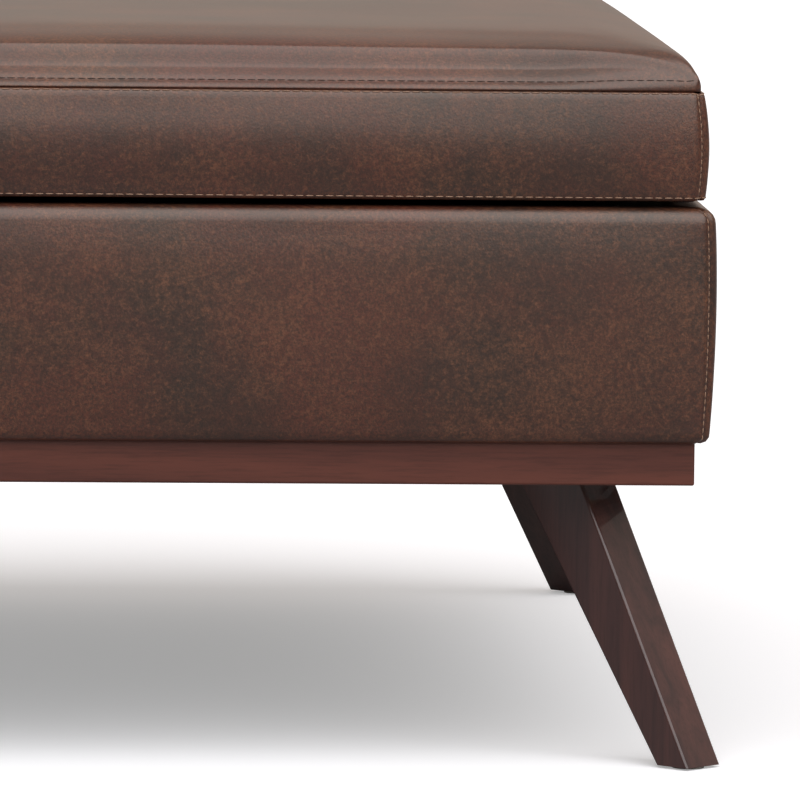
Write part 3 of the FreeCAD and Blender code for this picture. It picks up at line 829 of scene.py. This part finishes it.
def cloth_square(name, half, high, sag, seed, cut=None):
    """A stretched square of cloth that sags a little between its edges, with its corners cut off at cut.

    cut is how far the cloth reaches from its middle, along X plus along Y.
    """
    places = np.linspace(-half, half, 97)
    x, y = (grid.ravel() for grid in np.meshgrid(places, places, indexing="ij"))
    points = np.column_stack([x, y, np.full(len(x), high)])
    give = (1 - (x / half) ** 2) * (1 - (y / half) ** 2)
    points[:, 2] += sag * give + 0.35 * MM * smooth_noise(points, 0.12, seed) * np.minimum(give * 4, 1)
    piece = new_object(name, points, grid_faces(len(places)))
    mesh = bmesh.new()
    mesh.from_mesh(piece.data)
    for way in ((1, 1), (-1, 1), (-1, -1), (1, -1)) if cut else ():
        normal = Vector((*way, 0)).normalized()
        everything = mesh.verts[:] + mesh.edges[:] + mesh.faces[:]
        bmesh.ops.bisect_plane(
            mesh, geom=everything, plane_co=normal * cut / math.sqrt(2), plane_no=normal, clear_outer=True
        )
    mesh.to_mesh(piece.data)
    mesh.free()
    return piece


def cloth_tray(name, half, low, high):
    """A lining for a square box: a floor and four walls."""
    places = np.linspace(-half, half, 73)
    count = len(places)
    heights = np.linspace(low, high, 13)[1:]
    x, y = (grid.ravel() for grid in np.meshgrid(places, places, indexing="ij"))
    floor = np.column_stack([x, y, np.full(len(x), low)])
    ring = [i * count for i in range(count)]
    ring += [(count - 1) * count + j for j in range(1, count)]
    ring += [i * count + count - 1 for i in range(count - 2, -1, -1)]
    ring += list(range(count - 2, 0, -1))
    walls = []
    for high_up in heights:
        row = floor[ring].copy()
        row[:, 2] = high_up
        loose = math.sin(math.pi * (high_up - low) / (heights[-1] - low))
        bulge = 0.8 * MM * loose * (0.5 + 0.5 * smooth_noise(row, 0.07, 37))
        row[:, :2] *= (1 - bulge / half)[:, None]
        walls.append(row)
    points = np.vstack([floor, *walls])
    faces = grid_faces(count)
    around = len(ring)
    for level in range(len(heights)):
        for k in range(around):
            above = count**2 + level * around
            below = ring if level == 0 else range(above - around, above)
            faces.append((below[k], below[(k + 1) % around], above + (k + 1) % around, above + k))
    piece = new_object(name, points, faces)
    outward_faces(piece)
    return piece


# ---------------------------------------------------------------- stitches


def stitch_tree():
    """Node group: lays a rounded stitch at every pitch along a path."""
    name = "Stitch row"
    if name in bpy.data.node_groups:
        return bpy.data.node_groups[name]
    tree = bpy.data.node_groups.new(name, "GeometryNodeTree")
    face = tree.interface
    face.new_socket("Path", in_out="INPUT", socket_type="NodeSocketGeometry")
    for label, value in (("Pitch", 5 * MM), ("Length", 4 * MM), ("Radius", 0.4 * MM)):
        face.new_socket(label, in_out="INPUT", socket_type="NodeSocketFloat").default_value = value
    face.new_socket("Thread", in_out="INPUT", socket_type="NodeSocketMaterial")
    face.new_socket("Stitches", in_out="OUTPUT", socket_type="NodeSocketGeometry")
    given = add_node(tree, "NodeGroupInput").outputs
    curve = add_node(tree, "GeometryNodeMeshToCurve", {"Mesh": given["Path"]}).outputs[0]
    spots = add_node(
        tree, "GeometryNodeCurveToPoints", {"Curve": curve, "Length": given["Pitch"]}, mode="LENGTH"
    ).outputs
    ball = add_node(
        tree, "GeometryNodeMeshUVSphere", {"Segments": 6, "Rings": 5, "Radius": 1.0}
    ).outputs["Mesh"]
    half = add_node(tree, "ShaderNodeMath", {0: given["Length"], 1: 0.5}, operation="MULTIPLY").outputs[0]
    size = add_node(
        tree, "ShaderNodeCombineXYZ", {"X": given["Radius"], "Y": given["Radius"], "Z": half}
    ).outputs[0]
    laid = add_node(
        tree, "GeometryNodeInstanceOnPoints",
        {"Points": spots["Points"], "Instance": ball, "Rotation": spots["Rotation"], "Scale": size},
    ).outputs[0]
    real = add_node(tree, "GeometryNodeRealizeInstances", {"Geometry": laid}).outputs[0]
    done = add_node(
        tree, "GeometryNodeSetMaterial", {"Geometry": real, "Material": given["Thread"]}
    ).outputs[0]
    add_node(tree, "NodeGroupOutput", {"Stitches": done})
    return tree


def snapped(path, piece_trees, lift):
    """The path's points moved onto the nearest of the covers, then raised by lift."""
    points = []
    for point in path:
        hits = [tree.find_nearest(Vector(point)) for tree in piece_trees]
        place, normal, _, _ = min((h for h in hits if h[0] is not None), key=lambda h: h[3])
        points.append(place + normal * lift)
    return points


def stitch_rows(name, paths, pitch, length, radius, material):
    """One piece: a row of stitches, or of staples, along each path."""
    vertices, edges = [], []
    for path in paths:
        start = len(vertices)
        vertices += [tuple(p) for p in path]
        edges += [(start + i, start + i + 1) for i in range(len(path) - 1)]
    mesh = bpy.data.meshes.new(name)
    mesh.from_pydata(vertices, edges, [])
    piece = bpy.data.objects.new(name, mesh)
    bpy.context.scene.collection.objects.link(piece)
    tree = stitch_tree()
    modifier = piece.modifiers.new("Stitches", "NODES")
    modifier.node_group = tree
    values = {"Pitch": pitch, "Length": length, "Radius": radius, "Thread": material}
    for item in tree.interface.items_tree:
        if item.in_out == "INPUT" and item.name in values:
            modifier[item.identifier] = values[item.name]
    finish_mesh(piece)
    piece.data.shade_smooth()
    return piece


def surface_tree(piece):
    depsgraph = bpy.context.evaluated_depsgraph_get()
    return BVHTree.FromObject(piece.evaluated_get(depsgraph), depsgraph)


def round_path(half, high, radius, spacing=2 * MM):
    """A closed path round the ottoman at that half width, with round corners."""
    turn = half - radius
    side = [(x, -half) for x in np.arange(-turn, turn, spacing)]
    arc = [
        (turn + radius * math.sin(a), -turn - radius * math.cos(a))
        for a in np.linspace(0, math.pi / 2, 8)
    ]
    quarter = np.array([(x, y, high) for x, y in side + arc])
    path = np.concatenate([turned(quarter, i) for i in range(4)])
    return np.vstack([path, path[:1]])


# ---------------------------------------------------------------- operators


def settings_of(context):
    scene = context.scene
    return scene.ottoman_leather, scene.ottoman_upholstery, scene.ottoman_stitches


class OTTOMAN_OT_studio(bpy.types.Operator):
    """Sets up the camera, the floor and the soft light"""

    bl_idname = "ottoman.studio"
    bl_label = "Studio"

    def execute(self, context):
        settings, scene = context.scene.ottoman_studio, context.scene
        camera = bpy.data.objects.new("camera", bpy.data.cameras.new("camera"))
        scene.collection.objects.link(camera)
        aim, tilt, roll = settings.aim, settings.tilt, settings.roll
        ahead = Vector((math.sin(aim) * math.cos(tilt), math.cos(aim) * math.cos(tilt), -math.sin(tilt)))
        right = Vector((math.cos(aim), -math.sin(aim), 0))
        up = right.cross(ahead)
        level = right * math.cos(roll) + up * math.sin(roll)
        upright = up * math.cos(roll) - right * math.sin(roll)
        turn = Matrix((level, upright, -ahead)).transposed()
        camera.matrix_world = Matrix.Translation(settings.place) @ turn.to_4x4()
        camera.data.lens, camera.data.sensor_width = settings.lens, 36
        camera.data.clip_start, camera.data.clip_end = 0.1, 200
        scene.camera = camera

        world = bpy.data.worlds.new("white_surroundings")
        scene.world = world
        world.use_nodes = True
        tree = world.node_tree
        # the room's light is dim in front and bright behind, but the camera sees its walls plain white
        way = add_node(tree, "ShaderNodeTexCoord").outputs["Generated"]
        depth = add_node(tree, "ShaderNodeSeparateXYZ", {0: way}).outputs["Y"]
        room = add_node(
            tree, "ShaderNodeMapRange",
            {"Value": depth, "From Min": -0.75, "From Max": 0.85, "To Min": settings.sky_front,
             "To Max": settings.sky_rear},
            interpolation_type="SMOOTHSTEP",
        ).outputs[0]
        direct = add_node(tree, "ShaderNodeLightPath").outputs["Is Camera Ray"]
        shown = add_node(tree, "ShaderNodeMix", {0: direct, 2: room, 3: 1.0}).outputs[0]
        tint = add_node(
            tree, "ShaderNodeMix", {0: direct, 6: settings.walls, 7: (1, 1, 1, 1)}, data_type="RGBA"
        ).outputs[2]
        set_sockets(tree.nodes["Background"], {"Color": tint, "Strength": shown})

        lamp = bpy.data.lights.new("overhead", "SUN")
        lamp.energy, lamp.angle = settings.key, settings.key_spread
        overhead = bpy.data.objects.new("overhead", lamp)
        overhead.rotation_euler = (settings.key_lean, math.radians(6), 0)
        scene.collection.objects.link(overhead)

        half = settings.floor_size / 2
        corners = [(-half, -half, 0), (half, -half, 0), (half, half, 0), (-half, half, 0)]
        floor = new_object("floor", corners, [(0, 1, 2, 3)])
        # the camera sees a white floor that glows a little, so its shadows stay pale; the ottoman gets
        # only a share of that floor's light
        material, tree, shader = new_material("matt_white_floor")
        direct = add_node(tree, "ShaderNodeLightPath").outputs["Is Camera Ray"]
        dim = scaled(settings.floor, settings.floor_bounce)
        seen = add_node(
            tree, "ShaderNodeMix", {0: direct, 6: dim, 7: settings.floor}, data_type="RGBA"
        ).outputs[2]
        glow = add_node(
            tree, "ShaderNodeMath", {0: direct, 1: settings.floor_glow}, operation="MULTIPLY"
        ).outputs[0]
        set_sockets(shader, {
            "Base Color": seen, "Roughness": 0.9, "Specular IOR Level": 0.0,
            "Emission Color": (1, 1, 1, 1), "Emission Strength": glow,
        })
        floor.data.materials.append(material)
        scene.view_settings.view_transform = "Standard"
        return {"FINISHED"}


class OTTOMAN_OT_lid(bpy.types.Operator):
    """Upholsters the lid: a crowned top panel and four bands"""

    bl_idname = "ottoman.lid"
    bl_label = "Lid upholstery"

    def execute(self, context):
        leather, upholstery, stitches = settings_of(context)
        material = own_material("waxed_leatherette", leatherette, leather)
        top = lid_top_piece(upholstery, stitches)
        top.data.materials.append(material)
        rounding = top.modifiers.new("Round", "SUBSURF")
        rounding.levels = rounding.render_levels = 1
        finish_mesh(top)
        outward_faces(top, close=True)
        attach(top, "lid")
        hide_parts("lid_cover_top", "lid_foam")
        outer, inner = band_outlines()
        give = (LID_LOW, upholstery.hem_drop, HEM_STRIP)
        for number, side in enumerate(SIDES):
            name = f"lid_side_band_{side}"
            band = padded_side(name, outer, inner, LID_HALF, number, give, upholstery, 10 + number)
            band.data.materials.append(material)
            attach(band, "lid")
            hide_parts("lid_band_" + side)
        return {"FINISHED"}


class OTTOMAN_OT_box(bpy.types.Operator):
    """Upholsters the four sides of the storage box"""

    bl_idname = "ottoman.box"
    bl_label = "Box upholstery"

    def execute(self, context):
        leather, upholstery, _ = settings_of(context)
        material = own_material("waxed_leatherette", leatherette, leather)
        outer, inner = box_outlines()
        give = (BOX_HIGH, upholstery.rim_drop, RIM_STRIP)
        for number, side in enumerate(SIDES):
            name = f"box_side_pad_{side}"
            pad = padded_side(name, outer, inner, BOX_HALF, number, give, upholstery, 20 + number)
            pad.data.materials.append(material)
            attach(pad, "base")
            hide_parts("body_pad_" + side, "body_cover_" + side)
        return {"FINISHED"}


class OTTOMAN_OT_stitches(bpy.types.Operator):
    """Sews the lid's seam and hem and the corners of lid and box"""

    bl_idname = "ottoman.stitches"
    bl_label = "Stitches"

    def execute(self, context):
        leather, upholstery, sizes = settings_of(context)
        pale = own_material("pale_bonded_thread", thread, leather.thread)
        dark = own_material("dark_bonded_thread", thread, leather.dark_thread)
        lid = [surface_tree(bpy.data.objects["lid_side_band_" + s]) for s in SIDES]
        top = [surface_tree(bpy.data.objects["lid_top_panel"])]
        box = [surface_tree(bpy.data.objects["box_side_pad_" + s]) for s in SIDES]
        lift = 0.15 * MM
        radius = CORNER_RADIUS - (LID_HALF - SEAM_HALF)
        seam = snapped(round_path(SEAM_HALF + 0.4 * MM, LID_SEAM - 1.0 * MM, radius), lid, lift)
        hem_path = round_path(LID_HALF - 2 * MM, LID_LOW + sizes.hem, CORNER_RADIUS)
        hem = snapped(settle_front(hem_path, LID_LOW, upholstery.hem_drop, HEM_STRIP), lid, lift)
        inset = SEAM_HALF - sizes.top_inset
        over = snapped(round_path(inset, LID_SEAM + 5 * MM, 4 * MM), top, 0.05 * MM)
        rows = [
            ("lid_seam_stitches", [seam], sizes.seam_pitch, pale, "lid"),
            ("lid_hem_stitches", [hem], sizes.seam_pitch, pale, "lid"),
            ("lid_top_stitches", [over], sizes.seam_pitch, dark, "lid"),
            ("lid_corner_stitches", self.corners(lid, LID_HALF, LID_LOW + 3.4 * MM, LID_SEAM - 2 * MM, sizes),
             sizes.corner_pitch, pale, "lid"),
            ("box_corner_stitches", self.corners(box, BOX_HALF, BOX_LOW + 3 * MM, BOX_HIGH - 2 * MM, sizes),
             sizes.corner_pitch, pale, "base"),
        ]
        for name, paths, pitch, material, body in rows:
            piece = stitch_rows(name, paths, pitch, pitch - sizes.gap, sizes.thread, material)
            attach(piece, body)
        return {"FINISHED"}

    def corners(self, trees, half, low, high, sizes):
        """Paths down the four corners, on the front and rear panels just beside the seam."""
        turn = half - CORNER_RADIUS
        angle = math.pi / 4 - sizes.corner_inset / CORNER_RADIUS
        x, y = turn + CORNER_RADIUS * math.sin(angle), turn + CORNER_RADIUS * math.cos(angle)
        heights = np.linspace(low, high, 60)
        return [
            snapped([(sx * x, sy * y, z) for z in heights], trees, 0.1 * MM)
            for sx in (-1, 1)
            for sy in (-1, 1)
        ]


class OTTOMAN_OT_woodwork(bpy.types.Operator):
    """Finishes the rails, legs, boards and blocks"""

    bl_idname = "ottoman.woodwork"
    bl_label = "Woodwork"

    def execute(self, context):
        colours = context.scene.ottoman_wood
        walnut = {
            way: wood("oiled_walnut_" + "xy"[way], colours.walnut, colours.walnut_dark, way, 0.42, 0.12)
            for way in (0, 1)
        }
        legs = wood("espresso_lacquered_beech", colours.espresso_light, colours.espresso, 2, 0.4, 0.9)
        ply = wood("birch_plywood", colours.ply, scaled(colours.ply, 0.75), 0, 0.6, 0.0)
        pine = wood("planed_pine", colours.pine, scaled(colours.pine, 0.7), 0, 0.6, 0.0)
        for number, side in enumerate(SIDES):
            self.paint("rail_" + side, walnut[number % 2])
            self.paint("panel_" + side, ply)
        for corner in CORNERS:
            self.paint("leg_" + corner, legs)
            self.paint("corner_block_" + corner, pine)
        for board, material in (("cross_bearers", pine), ("bottom_board", ply), ("lid_board", ply)):
            self.paint(board, material)
        return {"FINISHED"}

    def paint(self, node, material):
        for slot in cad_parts[node].material_slots:
            slot.material = material


class OTTOMAN_OT_fittings(bpy.types.Operator):
    """Finishes the hinges, stays, screws, glides and bumpers"""

    bl_idname = "ottoman.fittings"
    bl_label = "Fittings"

    def execute(self, context):
        colours = context.scene.ottoman_fittings
        zinc = zinc_plate("barrel_zinc_plate", colours)
        nylon = moulded("moulded_nylon", colours.nylon, 0.45)
        rubber = moulded("moulded_rubber", colours.rubber, 0.7)
        steel = ("hinge", "stay", "screws", "leg_plate", "leg_hanger")
        for node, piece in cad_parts.items():
            finish = zinc if node.startswith(steel) else None
            finish = nylon if node == "foot_glides" else rubber if node == "lid_bumpers" else finish
            for slot in piece.material_slots if finish else ():
                slot.material = finish
        return {"FINISHED"}


class OTTOMAN_OT_linings(bpy.types.Operator):
    """Makes the linings of the box and lid and the dust cover, with its staples"""

    bl_idname = "ottoman.linings"
    bl_label = "Linings"

    def execute(self, context):
        colours = context.scene.ottoman_fittings
        lining = woven_lining("woven_polyester_lining", colours)
        dust = bonded_cloth("spun_bonded_dust_cloth", colours)

        low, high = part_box("lid_lining")
        half = high.x
        cloth = cloth_square("lid_lining_cloth", half, (low.z + high.z) / 2, 0.5 * MM, 31)
        self.hang(cloth, lining, "lid", "lid_lining", "lining_fabric", 0.8 * MM)

        low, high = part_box("box_lining")
        half = high.x - 0.6 * MM
        tray = cloth_tray("box_lining_cloth", half, low.z + 0.6 * MM, high.z)
        self.hang(tray, lining, "base", "box_lining", "lining_fabric", 0.8 * MM)

        low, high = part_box("dust_cover")
        half, cut = high.x, DUST_CUT
        under = cloth_square("dust_cover_cloth", half, (low.z + high.z) / 2, -1.4 * MM, 33, cut)
        self.hang(under, dust, "base", "dust_cover", "dust_fabric", 0.6 * MM)

        # staples, 11 mm wide, go in 7 mm from the cloth's edge
        pitch, width, wire = 38 * MM, 11 * MM, 0.65 * MM
        inset, reach = half - 7 * MM, cut - half - 12 * MM
        side = np.array([(x, -inset, low.z - 0.1 * MM) for x in np.linspace(-reach, reach, 60)])
        paths = [turned(side, i) for i in range(4)]
        zinc = bpy.data.materials["barrel_zinc_plate"]
        staples = stitch_rows("dust_cover_staples", paths, pitch, width, wire, zinc)
        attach(staples, "base")
        return {"FINISHED"}

    def hang(self, cloth, material, body, node, slot, thickness):
        solid = cloth.modifiers.new("Thickness", "SOLIDIFY")
        solid.thickness, solid.offset = thickness, 0
        finish_mesh(cloth)
        outward_faces(cloth)
        cloth.data.materials.append(material)
        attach(cloth, body)
        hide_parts(node)


class OTTOMAN_PT_sidebar(bpy.types.Panel):
    """The ottoman's settings and steps"""

    bl_label = "Ottoman"
    bl_space_type = "VIEW_3D"
    bl_region_type = "UI"
    bl_category = "Ottoman"

    def draw(self, context):
        for step in STEPS:
            self.layout.operator(step.bl_idname)
        for name in SETTINGS:
            group = getattr(context.scene, name)
            box = self.layout.box()
            for field in group.__annotations__:
                box.prop(group, field)


STEPS = (
    OTTOMAN_OT_studio,
    OTTOMAN_OT_lid,
    OTTOMAN_OT_box,
    OTTOMAN_OT_stitches,
    OTTOMAN_OT_woodwork,
    OTTOMAN_OT_fittings,
    OTTOMAN_OT_linings,
)
SETTINGS = {
    "ottoman_studio": StudioSettings,
    "ottoman_leather": LeatherSettings,
    "ottoman_upholstery": UpholsterySettings,
    "ottoman_stitches": StitchSettings,
    "ottoman_wood": WoodSettings,
    "ottoman_fittings": FittingSettings,
}


def register():
    for group in SETTINGS.values():
        bpy.utils.register_class(group)
    for step in STEPS:
        bpy.utils.register_class(step)
    bpy.utils.register_class(OTTOMAN_PT_sidebar)
    for name, group in SETTINGS.items():
        setattr(bpy.types.Scene, name, bpy.props.PointerProperty(type=group))


def unregister():
    for name in SETTINGS:
        delattr(bpy.types.Scene, name)
    bpy.utils.unregister_class(OTTOMAN_PT_sidebar)
    for step in reversed(STEPS):
        bpy.utils.unregister_class(step)
    for group in SETTINGS.values():
        bpy.utils.unregister_class(group)


def main():
    register()
    for step in STEPS:
        area, name = step.bl_idname.split(".")
        getattr(getattr(bpy.ops, area), name)()


if __name__ == "__main__":
    main()
